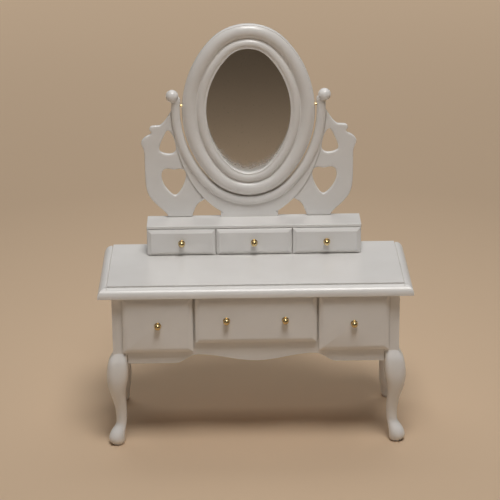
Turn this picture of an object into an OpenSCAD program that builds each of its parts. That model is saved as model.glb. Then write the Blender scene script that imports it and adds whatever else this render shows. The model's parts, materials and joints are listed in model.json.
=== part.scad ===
// Miniature dressing table: a moulded top on cabriole legs, three drawers over a scalloped
// apron, a box of three small drawers on top, and an oval mirror that tilts in a U cradle.
// Millimetres. X is across the front, Y runs to the back and Z is up. The origin is on the
// floor, in the middle of the outline.

/* [Table] */
// Width of the table top
table_w = 120; // [116:1:126]
// Depth of the table top
table_d = 50; // [48:1:54]
// Height of the table top's upper face
table_h = 66; // [64:1:70]
// Thickness of the table top
top_t = 4.2; // [3.8:0.1:4.8]
// Radius of the rounded nose of the table top
nose_r = 3; // [2.4:0.1:3]
// Distance between the outer faces of the left and right posts
posts_w = 109.8; // [108:0.2:112]
// Width and depth of each square post
post_w = 5.5; // [5:0.1:6]
// Distance from the top's front edge to the front posts
front_overhang = 3.6; // [3.2:0.1:4.5]
// Distance from the top's back edge to the back posts
back_overhang = 4; // [3:0.1:5]
// Height at which the knee of a leg starts
knee_h = 37.7; // [36:0.1:39]

/* [Apron and drawers] */
// Lowest edge of the scalloped apron
apron_h = 33.7; // [32:0.1:34.5]
// Rise of the apron's two arches
apron_rise = 3.5; // [2:0.1:3.8]
// Lower edge of the two side drawer fronts
side_front_h = 39; // [38.5:0.1:40]
// Lower edge of the centre drawer front
centre_front_h = 42.6; // [42:0.1:44]
// Width of the centre drawer front
centre_front_w = 46.4; // [42:0.2:50]
// Gap between neighbouring drawer fronts
front_gap = 0.9; // [0.4:0.1:1.2]
// Thickness of a drawer front
front_t = 1.9; // [1.6:0.1:2.2]
// Width of the bevel round a drawer front
bevel_w = 1.9; // [1:0.1:2.2]
// Thickness of the boards
board_t = 2; // [1.6:0.1:2.2]

/* [Drawer box on the top] */
// Width of the box
box_w = 84.5; // [80:0.5:90]
// Depth of the box behind its drawer fronts
box_d = 12; // [11:0.1:15]
// Height of the box
box_h = 12.1; // [11:0.1:14]
// Width of the middle drawer front of the box
box_centre_w = 29.9; // [27:0.1:32]
// Thickness of the box's walls
box_t = 1.2; // [1:0.1:1.4]

/* [Knobs] */
// Radius of a knob's ball
knob_r = 1.25; // [1:0.05:1.5]
// How far a knob stands out of its drawer front
knob_reach = 2.4; // [2:0.1:2.8]
// Radius of a knob's pin
knob_pin_r = 0.5; // [0.4:0.1:0.6]

/* [Mirror] */
// Half the width of the mirror frame
frame_a = 26; // [25:0.1:27]
// Half the height of the mirror frame
frame_b = 34.64; // [33.4:0.12:37]
// Width of the frame's moulding
frame_band = 9.5; // [9.2:0.1:10]
// Height of the oval's centre above the drawer box
frame_centre_h = 43.7; // [43:0.1:45]
// Height of the pivots above the oval's centre
pivot_rise = 2.4; // [1:0.1:3]
// Radius of the pivot pins
pivot_r = 0.5; // [0.4:0.05:0.6]

/* [Stand] */
// Distance of the stand's centre line from the table's, to the right
stand_x = -1.6; // [-3:0.1:3]
// Gap between the mirror frame and the cradle's arms
cradle_gap = 0.8; // [0.7:0.05:1.2]
// How much less that gap is below the frame
cradle_lift = 0.3; // [0:0.05:0.4]
// Width of the cradle's rounded rim
rim_w = 3.4; // [3:0.1:3.8]
// Thickness of the cradle's rim
rim_t = 3.5; // [3.2:0.1:3.8]
// Thickness of the scrolled brackets
bracket_t = 2; // [1.6:0.1:2.6]
// Radius of the finials
finial_r = 2.5; // [2.2:0.05:2.5]

/* [Hidden] */
$fn = 48;

// Colours
paint = "ivory";
bare_wood = "burlywood";
brass = "goldenrod";
silver = "lightsteelblue";

// Slack round a drawer box, and between a drawer front and the frame behind it
slide_slack = 0.2;
front_slack = 0.1;

// Table: front to back. A knob tip is as far forward as the top's back edge is back.
carcase_to_knob = front_slack + front_t + knob_reach;
knob_past_top = max(0, carcase_to_knob - front_overhang);
back_y = (table_d + knob_past_top) / 2;
top_front_y = back_y - table_d;
carcase_y = top_front_y + front_overhang;
front_back_y = carcase_y - front_slack;
rear_posts_y = back_y - back_overhang;
frame_back_y = carcase_y + 0.4 + board_t;
back_panel_y = rear_posts_y - 0.8 - board_t;

// Table: up
under_top = table_h - top_t;
top_rail_h = 1.2;
front_lap = 1.4;
side_floor_h = side_front_h + front_lap;
centre_floor_h = centre_front_h + front_lap;
floor_t = 1.2;

// Table: across
post_inner_x = posts_w / 2 - post_w;
divider_x = centre_front_w / 2 + front_gap / 2;
divider_t = 1.8;
centre_half = divider_x - divider_t / 2;
side_inner_x = divider_x + divider_t / 2;
side_front_x0 = divider_x + front_gap / 2;
side_front_x1 = post_inner_x + 1.5;
nose_lip = 0.7;
quirk_w = 0.35;
quirk_depth = 0.45;
bead_run = 0.3;
back_corner_r = 2.5;

// Drawer boxes
wall_t = 1.2;
bottom_t = 1;
small_wall_t = 1;
small_bottom_t = 0.8;

// Drawer box on the top
box_back_y = back_y - 0.5;
box_y = box_back_y - box_d;
box_front_back_y = box_y - front_slack;
box_front_t = 1.8;
box_top_h = table_h + box_h;
box_front_gap = 0.3;
box_divider_x = (box_centre_w + box_front_gap) / 2;
box_front_z0 = table_h + 0.15;
box_front_z1 = box_top_h - box_t - 0.2;
box_top_lap = 1;
box_bevel_w = 1.4;

// Cabriole leg: height, how far it leans out along X and Y, and half its width
LEG = [
    [0.6, 2.25, 2.5], [1.4, 2.4, 2.95], [2.4, 2.5, 3.1], [3.8, 2.35, 3.05], [5.2, 1.95, 2.8],
    [6.4, 1.4, 2.45], [7.4, 0.9, 2.15], [8.4, 0.6, 2.05], [11, 0.5, 2.1], [14, 0.6, 2.25],
    [18, 1.05, 2.6], [21, 1.5, 2.95], [24, 1.7, 3.5], [27, 1.6, 4], [30, 1.4, 4.15],
    [33, 1.2, 3.95], [35.6, 0.9, 3.5], [knee_h + 0.4, 0.1, 2.7]
];
LEG_RINGS = 36;
LEG_SIDES = 24;
ring_crowding = 1.25;
ankle_h = 12;
squareness = 0.45;
pad_r = 2;
pad_t = 0.9;
pad_lean = 2.2;

// Mirror and stand
mirror_z = box_top_h + frame_centre_h;
pivot_z = mirror_z + pivot_rise;
pivot_y = box_back_y - 2.2;
pin_run = 2.3;
pin_hold = 3.8;
pin_slack = 0.05;
rebate = frame_band - 1.4;
glass_t = 1;
backing_t = 0.8;
plate_t = 2.4;
cradle_a = 30;
cradle_b = 44.6;
base_half = 11.4;
base_h = 1.8;
finial_x = 29.7;
finial_z = 6.3;
side_lap = 0.05;

// A four-centre oval. Its centres and radii make a 20-21-29 triangle, so that its side arcs
// meet its end arcs without a step.
oval_unit = (frame_b - frame_a) / 12;
oval_end_c = 20 * oval_unit;
oval_side_c = 21 * oval_unit;
oval_end_r = frame_b - oval_end_c;
oval_side_r = frame_a + oval_side_c;
oval_join = atan2(oval_end_c, oval_side_c);

// ---------- Curves ----------

function mix(a, b, t) = a + (b - a) * t;

// Catmull-Rom point between b and c
function spline(a, b, c, d, t) =
    0.5 * (2 * b + (c - a) * t + (2 * a - 5 * b + 4 * c - d) * t * t
    + (3 * b - a - 3 * c + d) * t * t * t);

// Value of column k of a table of stations, smoothed over its first column
function station(table, at, k) =
    let (
        last = len(table) - 1,
        i = max([for (j = [0:last - 1]) if (table[j][0] <= at || j == 0) j]),
        t = (at - table[i][0]) / (table[i + 1][0] - table[i][0])
    )
    spline(table[max(i - 1, 0)][k], table[i][k], table[i + 1][k], table[min(i + 2, last)][k], t);

// Closed smooth line through a list of points
function smooth_loop(points, steps = 6) =
    let (n = len(points))
    [for (i = [0:n - 1]) for (s = [0:steps - 1])
        spline(points[(i + n - 1) % n], points[i], points[(i + 1) % n], points[(i + 2) % n],
            s / steps)];

// Open smooth line through a list of points
function smooth_line(points, steps = 5) =
    let (last = len(points) - 1)
    [for (i = [0:last - 1]) for (s = [0:(i == last - 1 ? steps : steps - 1)])
        spline(points[max(i - 1, 0)], points[i], points[i + 1], points[min(i + 2, last)],
            s / steps)];

// The oval's outline, moved out by out
function arc(centre, r, from, to, steps) =
    [for (s = [0:steps - 1]) centre + r * [cos(mix(from, to, s / steps)),
        sin(mix(from, to, s / steps))]];
function oval_points(out) = concat(
    arc([-oval_side_c, 0], oval_side_r + out, -oval_join, oval_join, 20),
    arc([0, oval_end_c], oval_end_r + out, oval_join, 180 - oval_join, 24),
    arc([oval_side_c, 0], oval_side_r + out, 180 - oval_join, 180 + oval_join, 20),
    arc([0, -oval_end_c], oval_end_r + out, 180 + oval_join, 360 - oval_join, 24)
);

// Height of the apron's lower edge above its lowest line
function apron_edge(x) =
    let (
        flat_x = divider_x + 7.4,
        crest_x = divider_x - 1,
        a = abs(x)
    )
    a > flat_x ? 0
    : a > crest_x ? apron_rise * (1 + cos(180 * (a - crest_x) / (flat_x - crest_x))) / 2
    : mix(0.2 * apron_rise, apron_rise, (1 - cos(180 * a / crest_x)) / 2);

// ---------- Helpers ----------

module block(low, high) {
    translate(low) cube(high - low);
}

// Extrudes a drawing in XZ from y0 to y1
module along_y(y0, y1) {
    translate([0, y1, 0]) rotate([90, 0, 0]) linear_extrude(y1 - y0) children();
}

// Extrudes a drawing in YZ from x0 to x1
module along_x(x0, x1) {
    translate([x0, 0, 0]) rotate([90, 0, 90]) linear_extrude(x1 - x0) children();
}

// Puts a drawing in XZ, with its thickness forward, at the mirror's centre
module at_mirror(y = box_back_y) {
    translate([stand_x, y, mirror_z]) rotate([90, 0, 0]) children();
}

// ---------- Table ----------

// From the edge inwards: a small lip, a rounded nose, a narrow quirk and the raised field
module nose_profile(run) {
    quirk_x = nose_r + bead_run;
    field_x = quirk_x + quirk_w;
    square([run, nose_lip]);
    intersection() {
        translate([nose_r, nose_lip]) circle(nose_r);
        translate([0, nose_lip]) square([quirk_x, nose_r]);
    }
    translate([quirk_x - 0.1, 0]) square([run - quirk_x + 0.1, nose_lip + nose_r - quirk_depth]);
    translate([field_x, 0]) square([run - field_x, top_t]);
}

// The top's outline, square in front and rounded at the two back corners
module top_outline() {
    corner_x = table_w / 2 - back_corner_r;
    translate([-table_w / 2, top_front_y]) square([table_w, table_d - back_corner_r]);
    translate([-corner_x, top_front_y]) square([2 * corner_x, table_d]);
    for (side = [-1, 1]) translate([side * corner_x, back_y - back_corner_r]) circle(back_corner_r);
}

module table_top() {
    color(paint) translate([0, 0, under_top]) intersection() {
        linear_extrude(top_t) top_outline();
        along_x(-table_w / 2, table_w / 2) translate([top_front_y, 0]) nose_profile(table_d);
        along_y(top_front_y, back_y) {
            translate([-table_w / 2, 0]) nose_profile(table_w / 2 + 1);
            mirror([1, 0]) translate([-table_w / 2, 0]) nose_profile(table_w / 2 + 1);
        }
    }
}

module side_panel(side) {
    outer_x = posts_w / 2 - 0.8;
    y0 = carcase_y + post_w;
    y1 = rear_posts_y - post_w;
    color(paint) mirror([side < 0 ? 1 : 0, 0, 0])
        block([outer_x - board_t, y0, apron_h], [outer_x, y1, under_top]);
}

module left_side_panel() side_panel(-1);

module right_side_panel() side_panel(1);

module back_panel() {
    color(paint) block([-post_inner_x, back_panel_y, apron_h],
        [post_inner_x, back_panel_y + board_t, under_top]);
}

// One board: the scalloped apron, the openings of the three drawers and the rail over them
module front_frame() {
    steps = 96;
    edge = [for (i = [0:steps]) let (x = mix(-post_inner_x, post_inner_x, i / steps))
        [x, apron_h + apron_edge(x)]];
    outline = concat(edge, [[post_inner_x, under_top], [-post_inner_x, under_top]]);
    rail_z = under_top - top_rail_h;
    color(paint) difference() {
        along_y(frame_back_y - board_t, frame_back_y) polygon(outline);
        block([-centre_half, carcase_y, centre_floor_h], [centre_half, frame_back_y + 1, rail_z]);
        for (side = [0, 1]) mirror([side, 0, 0])
            block([side_inner_x, carcase_y, side_floor_h],
                [post_inner_x + 1, frame_back_y + 1, rail_z]);
    }
}

module divider(side) {
    color(bare_wood) block([side * divider_x - divider_t / 2, frame_back_y, side_floor_h - floor_t],
        [side * divider_x + divider_t / 2, back_panel_y, under_top]);
}

module left_divider() divider(-1);

module right_divider() divider(1);

module drawer_floor(x0, x1, z) {
    color(bare_wood) block([x0, frame_back_y, z - floor_t], [x1, back_panel_y, z]);
}

module left_drawer_floor() drawer_floor(-post_inner_x, -side_inner_x, side_floor_h);

module centre_drawer_floor() drawer_floor(-centre_half, centre_half, centre_floor_h);

module right_drawer_floor() drawer_floor(side_inner_x, post_inner_x, side_floor_h);

// ---------- Legs ----------

// One ring of the leg: round at the foot and squarer towards the post
function leg_ring(z) =
    let (
        lean = station(LEG, z, 1),
        half = station(LEG, z, 2),
        square_up = mix(1, squareness, pow(max(0, (z - ankle_h) / (knee_h - ankle_h)), 1.5))
    )
    [for (i = [0:LEG_SIDES - 1]) let (a = 360 * (i + 0.5) / LEG_SIDES, c = cos(a), s = sin(a))
        [lean + half * sign(c) * pow(abs(c), square_up),
            -lean + half * sign(s) * pow(abs(s), square_up), z]];

// The cabriole leg on its own, leaning towards +X and -Y
module cabriole() {
    z0 = LEG[0][0];
    z1 = LEG[len(LEG) - 1][0];
    points = [for (r = [0:LEG_RINGS])
        each leg_ring(mix(z0, z1 - 0.001, pow(r / LEG_RINGS, ring_crowding)))];
    sides = [for (r = [0:LEG_RINGS - 1]) for (i = [0:LEG_SIDES - 1])
        let (a = r * LEG_SIDES + i, b = r * LEG_SIDES + (i + 1) % LEG_SIDES)
        each [[a, a + LEG_SIDES, b + LEG_SIDES], [a, b + LEG_SIDES, b]]];
    foot = [[for (i = [0:LEG_SIDES - 1]) i]];
    head = [[for (i = [LEG_SIDES - 1:-1:0]) LEG_RINGS * LEG_SIDES + i]];
    polyhedron(points, concat(sides, foot, head), convexity = 4);
}

module leg(side, back) {
    x = posts_w / 2 - post_w / 2;
    y = back ? rear_posts_y - post_w / 2 : carcase_y + post_w / 2;
    color(paint) translate([side * x, y, 0])
        mirror([side < 0 ? 1 : 0, 0, 0]) mirror([0, back ? 1 : 0, 0]) {
            translate([-post_w / 2, -post_w / 2, knee_h]) cube([post_w, post_w, under_top - knee_h]);
            cabriole();
            translate([pad_lean, -pad_lean, 0]) cylinder(r = pad_r, h = pad_t);
        }
}

module front_left_leg() leg(-1, false);

module front_right_leg() leg(1, false);

module back_left_leg() leg(-1, true);

module back_right_leg() leg(1, true);

// ---------- Drawers ----------

// A flat board with a bevel round its face, its back at y, with a hole for each knob
module bevelled_front(x0, x1, y, z0, z1, t, bevel, knobs) {
    edge_t = 0.5 * t;
    color(paint) difference() {
        intersection() {
            along_x(x0, x1) polygon([[y, z0], [y, z1], [y - edge_t, z1], [y - t, z1 - bevel],
                [y - t, z0 + bevel], [y - edge_t, z0]]);
            translate([0, 0, z0]) linear_extrude(z1 - z0) polygon([[x0, y], [x0, y - edge_t],
                [x0 + bevel, y - t], [x1 - bevel, y - t], [x1, y - edge_t], [x1, y]]);
        }
        for (k = knobs) translate([k[0], y + 1, k[1]])
            rotate([90, 0, 0]) cylinder(r = knob_pin_r + pin_slack, h = t + 2, $fn = 24);
    }
}

// A brass ball on a small flange, with its pin in the drawer front
module knob(x, face_y, z, t) {
    flange_r = 1.35;
    flange_t = 0.25;
    neck_r = 0.75;
    ball_h = knob_reach - knob_r;
    color(brass) translate([x, face_y, z]) rotate([90, 0, 0]) {
        translate([0, 0, -t]) cylinder(r = knob_pin_r, h = t + 0.1, $fn = 24);
        cylinder(r = flange_r, h = flange_t, $fn = 32);
        cylinder(r = neck_r, h = ball_h, $fn = 24);
        translate([0, 0, ball_h]) sphere(r = knob_r, $fn = 32);
    }
}

module box_sides(x0, x1, y0, y1, z0, z1, t) {
    color(bare_wood) {
        block([x0, y0, z0], [x0 + t, y1, z1]);
        block([x1 - t, y0, z0], [x1, y1, z1]);
    }
}

module box_back_wall(x0, x1, y1, z0, z1, t) {
    color(bare_wood) block([x0 + t, y1 - t, z0], [x1 - t, y1, z1]);
}

module box_floor(x0, x1, y0, y1, z0, t, floor) {
    color(bare_wood) block([x0 + t, y0, z0], [x1 - t, y1 - t, z0 + floor]);
}

// Table drawers: the box runs from x0 to x1 on the floor at floor_z
drawer_y1 = back_panel_y - 0.6;
drawer_z1 = under_top - top_rail_h - 0.35;
front_z1 = under_top - 0.4;
table_face_y = front_back_y - front_t;
SIDE_X = [side_inner_x + slide_slack, post_inner_x - slide_slack];
CENTRE_X = [-centre_half + slide_slack, centre_half - slide_slack];
centre_knob_x = 11.2;
side_knob_x = (side_front_x0 + side_front_x1) / 2;
side_knob_z = (side_front_h + front_z1) / 2;
centre_knob_z = (centre_front_h + front_z1) / 2 - 0.1;

module table_drawer_sides(x, floor_z) {
    box_sides(x[0], x[1], front_back_y, drawer_y1, floor_z + slide_slack, drawer_z1, wall_t);
}

module table_drawer_back(x, floor_z) {
    box_back_wall(x[0], x[1], drawer_y1, floor_z + slide_slack, drawer_z1, wall_t);
}

module table_drawer_bottom(x, floor_z) {
    box_floor(x[0], x[1], front_back_y, drawer_y1, floor_z + slide_slack, wall_t, bottom_t);
}

module side_drawer_front(side) {
    mirror([side < 0 ? 1 : 0, 0, 0])
        bevelled_front(side_front_x0, side_front_x1, front_back_y, side_front_h, front_z1,
            front_t, bevel_w, [[side_knob_x, side_knob_z]]);
}

module left_drawer_front() side_drawer_front(-1);

module left_drawer_sides() mirror([1, 0, 0]) table_drawer_sides(SIDE_X, side_floor_h);

module left_drawer_back() mirror([1, 0, 0]) table_drawer_back(SIDE_X, side_floor_h);

module left_drawer_bottom() mirror([1, 0, 0]) table_drawer_bottom(SIDE_X, side_floor_h);

module left_drawer_knob() knob(-side_knob_x, table_face_y, side_knob_z, front_t);

module right_drawer_front() side_drawer_front(1);

module right_drawer_sides() table_drawer_sides(SIDE_X, side_floor_h);

module right_drawer_back() table_drawer_back(SIDE_X, side_floor_h);

module right_drawer_bottom() table_drawer_bottom(SIDE_X, side_floor_h);

module right_drawer_knob() knob(side_knob_x, table_face_y, side_knob_z, front_t);

module centre_drawer_front() {
    bevelled_front(-centre_front_w / 2, centre_front_w / 2, front_back_y, centre_front_h,
        front_z1, front_t, bevel_w,
        [[-centre_knob_x, centre_knob_z], [centre_knob_x, centre_knob_z]]);
}

module centre_drawer_sides() table_drawer_sides(CENTRE_X, centre_floor_h);

module centre_drawer_back() table_drawer_back(CENTRE_X, centre_floor_h);

module centre_drawer_bottom() table_drawer_bottom(CENTRE_X, centre_floor_h);

module centre_drawer_knobs() {
    for (side = [-1, 1]) knob(side * centre_knob_x, table_face_y, centre_knob_z, front_t);
}

// ---------- Drawer box on the top ----------

box_z1 = box_top_h - box_t;
box_z0 = table_h + box_t;
box_inner_x = box_w / 2 - box_t;
box_inner_y = box_back_y - box_t;

module box_top() {
    color(paint)
        block([-box_w / 2, box_y - box_top_lap, box_z1], [box_w / 2, box_back_y, box_top_h]);
}

module box_bottom() {
    color(paint) block([-box_inner_x, box_y, table_h], [box_inner_x, box_back_y, box_z0]);
}

module box_left_side() {
    color(paint) block([-box_w / 2, box_y, table_h], [-box_inner_x, box_back_y, box_z1]);
}

module box_right_side() {
    color(paint) block([box_inner_x, box_y, table_h], [box_w / 2, box_back_y, box_z1]);
}

module box_back() {
    color(paint) block([-box_inner_x, box_inner_y, box_z0], [box_inner_x, box_back_y, box_z1]);
}

module box_divider(side) {
    color(paint) block([side * box_divider_x - box_t / 2, box_y, box_z0],
        [side * box_divider_x + box_t / 2, box_inner_y, box_z1]);
}

module box_left_divider() box_divider(-1);

module box_right_divider() box_divider(1);

small_y1 = box_inner_y - 0.4;
small_z0 = box_z0 + 0.15;
small_z1 = box_z1 - 0.35;
small_face_y = box_front_back_y - box_front_t;
small_knob_z = (box_front_z0 + box_front_z1) / 2 - 0.2;
SMALL_SIDE_X = [box_divider_x + box_t / 2 + slide_slack, box_inner_x - slide_slack];
SMALL_CENTRE_X = [-box_divider_x + box_t / 2 + slide_slack, box_divider_x - box_t / 2 - slide_slack];
SMALL_SIDE_FRONT = [box_divider_x + box_front_gap / 2, box_w / 2 - 0.3];
SMALL_CENTRE_FRONT = [-box_centre_w / 2, box_centre_w / 2];

module small_front(x) {
    bevelled_front(x[0], x[1], box_front_back_y, box_front_z0, box_front_z1, box_front_t,
        box_bevel_w, [[(x[0] + x[1]) / 2, small_knob_z]]);
}

module small_sides(x) {
    box_sides(x[0], x[1], box_front_back_y, small_y1, small_z0, small_z1, small_wall_t);
}

module small_back(x) {
    box_back_wall(x[0], x[1], small_y1, small_z0, small_z1, small_wall_t);
}

module small_bottom(x) {
    box_floor(x[0], x[1], box_front_back_y, small_y1, small_z0, small_wall_t, small_bottom_t);
}

module small_knob(x) {
    knob((x[0] + x[1]) / 2, small_face_y, small_knob_z, box_front_t);
}

module small_left_front() mirror([1, 0, 0]) small_front(SMALL_SIDE_FRONT);

module small_left_sides() mirror([1, 0, 0]) small_sides(SMALL_SIDE_X);

module small_left_back() mirror([1, 0, 0]) small_back(SMALL_SIDE_X);

module small_left_bottom() mirror([1, 0, 0]) small_bottom(SMALL_SIDE_X);

module small_left_knob() mirror([1, 0, 0]) small_knob(SMALL_SIDE_FRONT);

module small_centre_front() small_front(SMALL_CENTRE_FRONT);

module small_centre_sides() small_sides(SMALL_CENTRE_X);

module small_centre_back() small_back(SMALL_CENTRE_X);

module small_centre_bottom() small_bottom(SMALL_CENTRE_X);

module small_centre_knob() small_knob(SMALL_CENTRE_FRONT);

module small_right_front() small_front(SMALL_SIDE_FRONT);

module small_right_sides() small_sides(SMALL_SIDE_X);

module small_right_back() small_back(SMALL_SIDE_X);

module small_right_bottom() small_bottom(SMALL_SIDE_X);

module small_right_knob() small_knob(SMALL_SIDE_FRONT);

// ---------- Mirror stand ----------

// The wedge between the lines from an end arc's centre through the side arcs' centres
module end_wedge() {
    far = 5;
    translate([0, 0, -1]) linear_extrude(rim_t + 4) polygon([[0, oval_end_c],
        [far * oval_side_c, (far + 1) * oval_end_c], [-far * oval_side_c, (far + 1) * oval_end_c]]);
}

// The wedge between the lines from a side arc's centre through the end arcs' centres
module side_wedge() {
    far = 4;
    translate([0, 0, -1]) linear_extrude(rim_t + 4) polygon([[-oval_side_c, 0],
        [far * oval_side_c, (far + 1) * -oval_end_c], [far * oval_side_c, (far + 1) * oval_end_c]]);
}

// Sweeps a profile round one side or one end of the oval. The profile's x is measured
// outwards from the frame's outer edge and its y is the thickness.
module sweep_side(from = -50, to = 50) {
    intersection() {
        translate([-oval_side_c, 0, 0]) rotate_extrude(angle = to - from, start = from, $fn = 120)
            translate([oval_side_r, 0]) children();
        side_wedge();
    }
}

module sweep_end() {
    intersection() {
        translate([0, oval_end_c, 0]) rotate_extrude(angle = 120, start = 30, $fn = 120)
            translate([oval_end_r, 0]) children();
        end_wedge();
    }
}

module rim_profile() {
    crown_r = 2.2;
    translate([cradle_gap, 0]) {
        square([rim_w, 0.6 * rim_t]);
        intersection() {
            translate([rim_w / 2, rim_t - crown_r]) circle(crown_r);
            square([rim_w, rim_t]);
        }
    }
}

// The flat crescent behind the rim, which thickens down to its base on the box
module crescent() {
    ellipse = [for (i = [0:95]) let (a = 360 * i / 96) [cradle_a * cos(a), cradle_b * sin(a)]];
    linear_extrude(plate_t) difference() {
        union() {
            polygon(ellipse);
            translate([-base_half, -frame_centre_h]) square([2 * base_half, base_h]);
        }
        translate([0, cradle_lift]) polygon(oval_points(cradle_gap + rim_w / 2));
        translate([-2 * cradle_a, 0]) square([4 * cradle_a, 2 * cradle_b]);
        translate([-2 * cradle_a, -frame_centre_h - 10]) square([4 * cradle_a, 10]);
    }
}

// The ball on a cradle arm
module finial() {
    translate([finial_x, finial_z, finial_r]) sphere(finial_r);
}

// The rounded end of a cradle arm
module arm_end(angle) {
    turn_r = oval_side_r + cradle_gap + rim_w / 2;
    translate([turn_r * cos(angle) - oval_side_c, turn_r * sin(angle) + cradle_lift, rim_t / 2 + 0.1])
        sphere(rim_w / 2 + 0.05);
}

module mirror_cradle() {
    arm_top = 5.5;
    color(paint) difference() {
        at_mirror() {
            crescent();
            for (side = [0, 1]) mirror([side, 0, 0]) {
                translate([0, cradle_lift, 0]) sweep_side(to = arm_top) rim_profile();
                arm_end(arm_top);
                finial();
            }
            translate([0, cradle_lift, 0]) mirror([0, 1, 0]) sweep_end() rim_profile();
        }
        for (side = [-1, 1])
            translate([stand_x + side * (frame_a + cradle_gap - 1), pivot_y, pivot_z])
                rotate([0, side * 90, 0]) cylinder(r = pivot_r + pin_slack, h = pin_run + 1.1);
    }
}

// Right bracket, in X from the stand's centre line and Z from the box
SCROLL_TOP = [
    [28, 37], [28.6, 43], [30.2, 43.6], [31.3, 42], [33, 39.6], [34.7, 38], [36.6, 37.8],
    [38.4, 37.5], [39, 36.3], [38.2, 35]
];
SCROLL_OUTER = [
    [38.2, 35], [38.8, 34.2], [40.6, 33.3], [42, 31.9], [42.4, 30.4], [41.6, 28.4], [41.2, 26],
    [41.2, 20], [40.9, 13], [39.8, 9], [37.3, 5.7], [34.6, 3.1], [33, 1.5], [32.3, 0]
];
SCROLL_INNER = [[22.8, 0], [22.2, 2], [20.8, 5], [18.6, 6.7], [14, 9]];
TEARDROP = [[31.8, 35.9], [33.6, 33], [35, 29.6], [35, 27.4], [32.6, 26.3], [30, 26.4],
    [28.8, 27.8], [29, 31], [30, 34]];
HEART = [[29.6, 19.7], [32, 20.2], [34, 19.5], [34.6, 16.6], [33.2, 12.6], [29.5, 9], [26.6, 12.2],
    [25.1, 16.4], [25.5, 19.3], [27.4, 20.1]];

module bracket() {
    outline = concat(smooth_line(SCROLL_TOP), smooth_line(SCROLL_OUTER), smooth_line(SCROLL_INNER));
    ellipse = [for (i = [0:95]) let (a = 360 * i / 96) [cradle_a * cos(a), cradle_b * sin(a)]];
    color(paint) translate([stand_x, 0, box_top_h]) along_y(box_back_y - bracket_t, box_back_y)
        difference() {
            polygon(outline);
            polygon(smooth_loop(TEARDROP));
            polygon(smooth_loop(HEART));
            translate([0, frame_centre_h]) polygon(ellipse);
            translate([0, frame_centre_h + cradle_lift])
                polygon(oval_points(cradle_gap + rim_w + side_lap));
        }
}

module left_bracket() {
    translate([stand_x, 0, 0]) mirror([1, 0, 0]) translate([-stand_x, 0, 0]) bracket();
}

module right_bracket() bracket();

// ---------- Mirror ----------

// Moulding from the outer edge inwards: a broad round, a groove, a bead and a flat lip
module frame_profile() {
    round_r = 2.9;
    round_y = 1.6;
    groove_x = 5.65;
    groove_y = 3.2;
    bead_r = 1.9;
    bead_y = 2.4;
    lip_y = backing_t + glass_t;
    lip_front = 3.9;
    back_corner = 0.3;
    mirror([1, 0]) intersection() {
        union() {
            translate([round_r, round_y]) circle(round_r);
            translate([groove_x + bead_r, bead_y]) circle(bead_r);
            translate([back_corner, 0]) square([groove_x + bead_r - back_corner, groove_y]);
            translate([groove_x + bead_r, 0]) square([frame_band, lip_front]);
        }
        polygon([[0, 0], [rebate, 0], [rebate, lip_y], [frame_band, lip_y],
            [frame_band, lip_front - 0.2], [frame_band - 0.2, lip_front], [frame_band - 0.2, 6],
            [0, 6]]);
    }
}

module mirror_frame() {
    color(paint) difference() {
        at_mirror() {
            for (side = [0, 1]) mirror([side, 0, 0]) sweep_side() frame_profile();
            for (end = [0, 1]) mirror([0, end, 0]) sweep_end() frame_profile();
        }
        for (side = [-1, 1])
            translate([stand_x + side * (frame_a - pin_hold), pivot_y, pivot_z])
                rotate([0, side * 90, 0]) cylinder(r = pivot_r, h = pin_hold + 1);
    }
}

module mirror_glass() {
    color(silver) at_mirror() translate([0, 0, backing_t])
        linear_extrude(glass_t) polygon(oval_points(-rebate - 0.05));
}

module mirror_backing() {
    color(bare_wood) at_mirror() linear_extrude(backing_t) polygon(oval_points(-rebate - 0.05));
}

module mirror_pivot_pins() {
    color(brass) for (side = [-1, 1])
        translate([stand_x + side * (frame_a - pin_hold), pivot_y, pivot_z])
            rotate([0, side * 90, 0]) cylinder(r = pivot_r, h = pin_hold + cradle_gap + pin_run);
}

table_top();
left_side_panel();
right_side_panel();
back_panel();
front_frame();
left_divider();
right_divider();
left_drawer_floor();
centre_drawer_floor();
right_drawer_floor();
front_left_leg();
front_right_leg();
back_left_leg();
back_right_leg();
left_drawer_front();
left_drawer_sides();
left_drawer_back();
left_drawer_bottom();
left_drawer_knob();
centre_drawer_front();
centre_drawer_sides();
centre_drawer_back();
centre_drawer_bottom();
centre_drawer_knobs();
right_drawer_front();
right_drawer_sides();
right_drawer_back();
right_drawer_bottom();
right_drawer_knob();
box_top();
box_bottom();
box_left_side();
box_right_side();
box_back();
box_left_divider();
box_right_divider();
small_left_front();
small_left_sides();
small_left_back();
small_left_bottom();
small_left_knob();
small_centre_front();
small_centre_sides();
small_centre_back();
small_centre_bottom();
small_centre_knob();
small_right_front();
small_right_sides();
small_right_back();
small_right_bottom();
small_right_knob();
mirror_cradle();
left_bracket();
right_bracket();
mirror_frame();
mirror_glass();
mirror_backing();
mirror_pivot_pins();
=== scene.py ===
import json
import math

import bpy
from mathutils import Matrix, Vector


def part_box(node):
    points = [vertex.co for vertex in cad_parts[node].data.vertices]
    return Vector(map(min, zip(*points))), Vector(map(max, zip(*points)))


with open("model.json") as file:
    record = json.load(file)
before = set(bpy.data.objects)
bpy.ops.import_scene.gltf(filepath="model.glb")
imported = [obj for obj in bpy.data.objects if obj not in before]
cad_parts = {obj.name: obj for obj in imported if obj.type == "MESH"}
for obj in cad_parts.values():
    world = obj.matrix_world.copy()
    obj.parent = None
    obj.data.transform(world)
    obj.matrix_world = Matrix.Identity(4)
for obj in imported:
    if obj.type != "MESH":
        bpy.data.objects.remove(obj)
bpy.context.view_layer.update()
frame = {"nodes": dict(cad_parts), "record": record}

MM = 0.001
nodes = frame["nodes"]
scene = bpy.context.scene


# ---------- Node-tree helpers ----------


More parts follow.
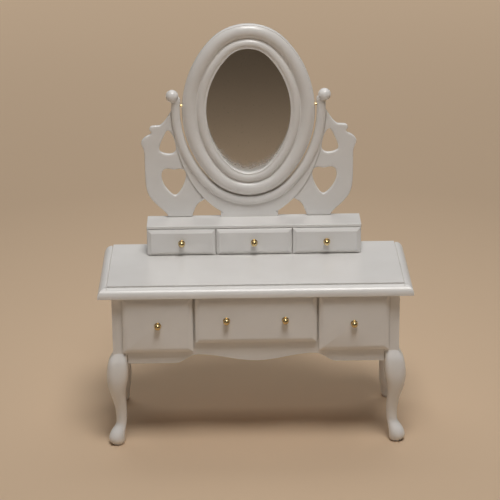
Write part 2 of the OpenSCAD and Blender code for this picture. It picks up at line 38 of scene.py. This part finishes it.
class Tree:
    """Short calls to add and join shader nodes."""

    def __init__(self, name):
        self.material = bpy.data.materials.new(name)
        self.material.use_nodes = True
        self.tree = self.material.node_tree
        self.shader = self.tree.nodes["Principled BSDF"]

    def add(self, kind, **values):
        made = self.tree.nodes.new(kind)
        for key, value in values.items():
            setattr(made, key, value)
        return made

    def join(self, source, target):
        self.tree.links.new(source, target)

    def position(self):
        return self.add("ShaderNodeTexCoord").outputs["Object"]

    def mapped(self, vector, scale, shift=(0.0, 0.0, 0.0)):
        """A place scaled, then shifted."""
        mapping = self.add("ShaderNodeMapping")
        mapping.inputs["Scale"].default_value = scale
        mapping.inputs["Location"].default_value = shift
        self.join(vector, mapping.inputs["Vector"])
        return mapping.outputs["Vector"]

    def length(self, vector):
        """A place's distance from its origin."""
        made = self.add("ShaderNodeVectorMath", operation="LENGTH")
        self.join(vector, made.inputs[0])
        return made.outputs["Value"]

    def noise(self, vector, scale, detail=4.0, roughness=0.5):
        """Noise with about scale features to each unit of the place it is given."""
        made = self.add("ShaderNodeTexNoise")
        made.inputs["Scale"].default_value = scale
        made.inputs["Detail"].default_value = detail
        made.inputs["Roughness"].default_value = roughness
        self.join(vector, made.inputs["Vector"])
        return made.outputs["Fac"]

    def ramp(self, value, low, high, first=0.0, last=1.0):
        """Maps low..high of a value to first..last, and clamps it."""
        made = self.add("ShaderNodeMapRange")
        made.inputs["From Min"].default_value = low
        made.inputs["From Max"].default_value = high
        made.inputs["To Min"].default_value = first
        made.inputs["To Max"].default_value = last
        self.join(value, made.inputs["Value"])
        return made.outputs["Result"]

    def blend(self, factor, colour_a, colour_b):
        made = self.add("ShaderNodeMix", data_type="RGBA")
        self.join(factor, made.inputs["Factor"])
        for socket, value in ((made.inputs["A"], colour_a), (made.inputs["B"], colour_b)):
            if isinstance(value, tuple):
                socket.default_value = (*value, 1.0)
            else:
                self.join(value, socket)
        return made.outputs["Result"]

    def math(self, operation, a, b):
        made = self.add("ShaderNodeMath", operation=operation)
        for socket, value in zip(made.inputs, (a, b)):
            if isinstance(value, (int, float)):
                socket.default_value = value
            else:
                self.join(value, socket)
        return made.outputs["Value"]

    def bump(self, height, strength, distance, normal=None):
        made = self.add("ShaderNodeBump")
        made.inputs["Strength"].default_value = strength
        made.inputs["Distance"].default_value = distance
        self.join(height, made.inputs["Height"])
        if normal is not None:
            self.join(normal, made.inputs["Normal"])
        return made.outputs["Normal"]


# ---------- Materials ----------

# How deep into a corner the painted shade reaches, and how strong it is
PAINTED_SHADE_REACH = 2.0 * MM
PAINTED_SHADE_SHARE = 0.35
# The mirror's painted reflection of the frame's lip, a dull grey crescent along its foot: how
# far its oval is raised over the glass's own centre, how ragged its edge is and how strong it
# is
REFLECTION_RISE = 3.5 * MM
REFLECTION_RAGGED = 0.14
REFLECTION_SHARE = 0.75
SPECK_SHARE = 0.15
# The floor's own light rises between these distances from the object, in metres, and stays
# away from a patch in front, this far round a point at PATCH_Y
SWEEP = (0.30, 0.95)
SWEEP_GLOW = 0.48
PATCH = (0.24, 0.60)
PATCH_Y = -0.42


def white_paint():
    """Satin off-white lacquer brushed on wood: faint mottling, soft grain, and painted shade
    that darkens and yellows its creases.
    """
    t = Tree("white_paint")
    where = t.position()
    mottle = t.noise(where, 55.0, 3.0)
    fine = t.noise(where, 900.0, 3.0)
    grain = t.noise(t.mapped(where, (60.0, 700.0, 700.0)), 1.0, 3.0)
    base = t.blend(t.ramp(mottle, 0.3, 0.7), (0.80, 0.785, 0.765), (0.845, 0.835, 0.82))
    # Painted shade: the colour darkens and yellows in the corners that ambient occlusion finds
    occlusion_probe = t.add("ShaderNodeAmbientOcclusion", samples=8)
    occlusion_probe.inputs["Distance"].default_value = PAINTED_SHADE_REACH
    painted_shade = t.ramp(occlusion_probe.outputs["AO"], 0.25, 0.85, 1.0, 0.0)
    shaded_base = t.blend(t.math("MULTIPLY", painted_shade, PAINTED_SHADE_SHARE), base, (0.60, 0.56, 0.50))
    t.join(shaded_base, t.shader.inputs["Base Color"])
    rough = t.ramp(mottle, 0.3, 0.7, 0.30, 0.42)
    t.join(rough, t.shader.inputs["Roughness"])
    t.shader.inputs["Coat Weight"].default_value = 0.40
    t.shader.inputs["Coat Roughness"].default_value = 0.17
    first = t.bump(grain, 0.10, 0.05 * MM)
    t.join(t.bump(fine, 0.12, 0.03 * MM, first), t.shader.inputs["Normal"])
    return t.material


def bare_wood():
    """Pale close-grained wood inside the drawers."""
    t = Tree("bare_wood")
    where = t.position()
    grain = t.noise(t.mapped(where, (900.0, 70.0, 900.0)), 1.0, 5.0, 0.6)
    broad = t.noise(t.mapped(where, (160.0, 18.0, 160.0)), 1.0, 3.0)
    light = t.blend(t.ramp(grain, 0.35, 0.65), (0.52, 0.36, 0.205), (0.66, 0.49, 0.30))
    colour = t.blend(t.ramp(broad, 0.3, 0.7, 0.0, 0.45), light, (0.47, 0.32, 0.18))
    t.join(colour, t.shader.inputs["Base Color"])
    t.join(t.ramp(grain, 0.3, 0.7, 0.55, 0.72), t.shader.inputs["Roughness"])
    t.join(t.bump(grain, 0.35, 0.06 * MM), t.shader.inputs["Normal"])
    return t.material


def brass():
    """Polished brass with faint tarnish and turning marks."""
    t = Tree("brass")
    where = t.position()
    tarnish = t.noise(where, 420.0, 4.0)
    colour = t.blend(t.ramp(tarnish, 0.35, 0.75), (0.80, 0.63, 0.33), (0.55, 0.40, 0.19))
    t.join(colour, t.shader.inputs["Base Color"])
    t.shader.inputs["Metallic"].default_value = 1.0
    t.join(t.ramp(tarnish, 0.3, 0.7, 0.14, 0.30), t.shader.inputs["Roughness"])
    t.join(t.bump(t.noise(where, 3000.0, 2.0), 0.08, 0.02 * MM), t.shader.inputs["Normal"])
    return t.material


def mirror_foil():
    """A small cheap mirror: greyish, slightly wavy, with a painted reflection of the frame's
    lip as a dull grey crescent along its foot.
    """
    t = Tree("silvered_glass")
    where = t.position()
    glass_lo, glass_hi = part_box("mirror_glass")
    centre = (glass_lo + glass_hi) / 2
    half = (glass_hi - glass_lo) / 2
    # Places scaled so that the glass's edge is 1 from the centre of an oval raised a little
    raised = centre.z + REFLECTION_RISE
    oval = t.mapped(where, (1.0 / half.x, 0.0, 1.0 / half.z),
                    (-centre.x / half.x, 0.0, -raised / half.z))
    split = t.add("ShaderNodeSeparateXYZ")
    t.join(oval, split.inputs["Vector"])
    below = t.ramp(split.outputs["Z"], -0.35, -0.75)
    edge_wobble = t.noise(where, 420.0, 4.0, 0.6)
    ragged = t.math("ADD", t.length(oval), t.math("MULTIPLY", edge_wobble, REFLECTION_RAGGED))
    edge = t.ramp(ragged, 1.0, 1.13)
    # Painted reflection: a dull grey crescent along the glass's foot, where the frame's lip is
    # reflected
    painted_reflection = t.math("MULTIPLY", t.math("MULTIPLY", edge, below), REFLECTION_SHARE)
    specks = t.ramp(t.noise(where, 1500.0, 2.0), 0.66, 0.74)
    # The painted reflection, joined with the silvering's own small specks
    reflection_and_specks = t.math("MAXIMUM", painted_reflection, t.math("MULTIPLY", specks, SPECK_SHARE))
    colour = t.blend(reflection_and_specks, (0.80, 0.79, 0.77), (0.60, 0.59, 0.57))
    t.join(colour, t.shader.inputs["Base Color"])
    t.join(t.ramp(reflection_and_specks, 0.0, 1.0, 1.0, 0.25), t.shader.inputs["Metallic"])
    t.join(t.ramp(reflection_and_specks, 0.0, 1.0, 0.07, 0.50), t.shader.inputs["Roughness"])
    t.join(t.bump(t.noise(where, 60.0, 2.0), 0.12, 0.15 * MM), t.shader.inputs["Normal"])
    return t.material


def backing_card():
    """Brown pressed card behind the mirror."""
    t = Tree("backing_card")
    where = t.position()
    fibres = t.noise(where, 1300.0, 5.0, 0.7)
    colour = t.blend(t.ramp(fibres, 0.3, 0.7), (0.17, 0.105, 0.06), (0.25, 0.165, 0.10))
    t.join(colour, t.shader.inputs["Base Color"])
    t.shader.inputs["Roughness"].default_value = 0.8
    t.join(t.bump(fibres, 0.4, 0.05 * MM), t.shader.inputs["Normal"])
    return t.material


def floor_surface():
    """Plain matt sand-coloured floor, for the stage only, with painted light: it glows away
    from the object.
    """
    t = Tree("studio_floor")
    where = t.position()
    tone = t.noise(where, 3.0, 2.0)
    colour = t.blend(tone, (0.68, 0.51, 0.355), (0.70, 0.53, 0.37))
    t.join(colour, t.shader.inputs["Base Color"])
    # Painted light: past the lamps' reach the floor glows in its own colour, as a lit studio
    # sweep would look, except for the unlit patch in front that the mirror shows
    round_object = t.ramp(t.length(t.mapped(where, (1.0, 1.0, 0.0))), *SWEEP)
    from_patch = t.length(t.mapped(where, (2.0, 1.0, 0.0), (0.0, -PATCH_Y, 0.0)))
    round_patch = t.ramp(from_patch, *PATCH)
    glow = t.math("MULTIPLY", t.math("MULTIPLY", round_object, round_patch), SWEEP_GLOW)
    t.join(colour, t.shader.inputs["Emission Color"])
    t.join(glow, t.shader.inputs["Emission Strength"])
    t.shader.inputs["Roughness"].default_value = 0.9
    t.shader.inputs["Specular IOR Level"].default_value = 0.2
    return t.material


MATERIALS = {
    "white_paint": white_paint(),
    "bare_wood": bare_wood(),
    "brass": brass(),
    "silvered_glass": mirror_foil(),
    "backing_card": backing_card(),
}


# ---------- CAD nodes: softened edges and real materials ----------

slot_of = {entry["node"]: entry["material_slot"] for entry in frame["record"]["subparts"]}

# Widths of the edge bevels in millimetres, by material
EDGE = {
    "white_paint": 0.22,
    "bare_wood": 0.10,
    "brass": 0.04,
    "silvered_glass": 0.03,
    "backing_card": 0.05,
}
# Pieces whose edges are crisper than their material's
NODE_EDGE = {"table_top": 0.14}
EDGE_ANGLE = math.radians(32)
EDGE_SEGMENTS = 3
FLAT_ANGLE = math.radians(0.3)
WELD_REACH = 0.002 * MM
# Fretwork, worn round by sanding: a fine remesh, then smoothing passes
FRETWORK = ("left_bracket", "right_bracket")
FRET_VOXEL = 0.16 * MM
FRET_FACTOR = 0.7
FRET_PASSES = 30


def soften(obj, width):
    """Merges the flat faces and bevels the sharp edges."""
    weld = obj.modifiers.new("weld", "WELD")
    weld.merge_threshold = WELD_REACH
    flat = obj.modifiers.new("flat", "DECIMATE")
    flat.decimate_type = "DISSOLVE"
    flat.angle_limit = FLAT_ANGLE
    bevel = obj.modifiers.new("edges", "BEVEL")
    bevel.width = width
    bevel.segments = EDGE_SEGMENTS
    bevel.limit_method = "ANGLE"
    bevel.angle_limit = EDGE_ANGLE
    bevel.use_clamp_overlap = True
    normals = obj.modifiers.new("normals", "WEIGHTED_NORMAL")
    normals.keep_sharp = False


def sand_round(obj):
    """Rounds every edge of a board as sanding does."""
    remesh = obj.modifiers.new("remesh", "REMESH")
    remesh.mode = "VOXEL"
    remesh.voxel_size = FRET_VOXEL
    remesh.use_smooth_shade = True
    smooth = obj.modifiers.new("sanded", "SMOOTH")
    smooth.factor = FRET_FACTOR
    smooth.iterations = FRET_PASSES


for name, obj in nodes.items():
    material = MATERIALS[slot_of[name]]
    if obj.material_slots:
        for slot in obj.material_slots:
            slot.material = material
    else:
        obj.data.materials.append(material)
    if name in FRETWORK:
        sand_round(obj)
    else:
        soften(obj, NODE_EDGE.get(name, EDGE[slot_of[name]]) * MM)


# ---------- Stage ----------

FLOOR_SIZE = 30.0

bpy.ops.mesh.primitive_plane_add(size=FLOOR_SIZE, location=(0.0, 0.0, 0.0))
floor = bpy.context.object
floor.name = "floor"
floor.data.materials.append(floor_surface())


def area_light(name, place, target, size, power, colour, spread):
    """A rectangular softbox that is aimed at a point. A low spread is a grid on its front."""
    data = bpy.data.lights.new(name, "AREA")
    data.spread = math.radians(spread)
    data.shape = "RECTANGLE"
    data.size, data.size_y = size
    data.energy = power
    data.color = colour
    lamp = bpy.data.objects.new(name, data)
    lamp.location = place
    aim = Vector(target) - Vector(place)
    lamp.rotation_mode = "QUATERNION"
    lamp.rotation_quaternion = aim.to_track_quat("-Z", "Y")
    scene.collection.objects.link(lamp)


# Name, place, target, size in metres, watts, colour, spread in degrees
LAMPS = (
    ("top_key", (0.06, -0.27, 0.84), (0.0, 0.02, 0.05),
     (0.34, 0.34), 0.57, (1.0, 0.975, 0.95), 62.0),
    ("back_wash", (0.0, 0.62, 0.95), (0.0, 0.42, 0.0),
     (1.3, 0.7), 1.7, (1.0, 0.985, 0.965), 110.0),
    ("front_fill", (-0.45, -0.95, 0.40), (0.0, 0.0, 0.08),
     (0.7, 0.5), 0.035, (1.0, 0.95, 0.90), 40.0),
)
for lamp_facts in LAMPS:
    area_light(*lamp_facts)

WORLD_COLOUR = (1.0, 0.97, 0.93, 1.0)
WORLD_STRENGTH = 0.055

world = bpy.data.worlds.new("studio")
world.use_nodes = True
sky = world.node_tree.nodes["Background"]
sky.inputs["Color"].default_value = WORLD_COLOUR
sky.inputs["Strength"].default_value = WORLD_STRENGTH
scene.world = world

scene.view_settings.view_transform = "Standard"
scene.view_settings.look = "None"


# ---------- Camera ----------

# The camera's angles in radians, and where it stands from the table top's middle, along its
# own axes. That middle is TABLE_SHIFT behind the origin.
YAW, PITCH, ROLL = 0.00885, 0.35154, 0.01072
ASIDE, RAISED, AWAY = -1.775 * MM, 67.59 * MM, 769.79 * MM
TABLE_SHIFT = Vector((0.0, 0.4 * MM, 0.0))
SENSOR_WIDTH = 36.0
FOCAL_LENGTH = 138.02

forward = Vector((0.0, math.cos(PITCH), -math.sin(PITCH)))
upward = Vector((0.0, math.sin(PITCH), math.cos(PITCH)))
right = Vector((1.0, 0.0, 0.0))
turn_back = Matrix.Rotation(-YAW, 3, "Z")
stands_at = turn_back @ (upward * RAISED - forward * AWAY + right * ASIDE) + TABLE_SHIFT
side = turn_back @ (right * math.cos(ROLL) - upward * math.sin(ROLL))
top = turn_back @ (right * math.sin(ROLL) + upward * math.cos(ROLL))
back = side.cross(top)

lens = bpy.data.cameras.new("camera")
lens.sensor_width = SENSOR_WIDTH
lens.lens = FOCAL_LENGTH
lens.clip_start = 0.01
lens.clip_end = 20.0
camera = bpy.data.objects.new("camera", lens)
turned = Matrix((side, top, back)).transposed().to_4x4()
camera.matrix_world = Matrix.Translation(stands_at) @ turned
scene.collection.objects.link(camera)
scene.camera = camera
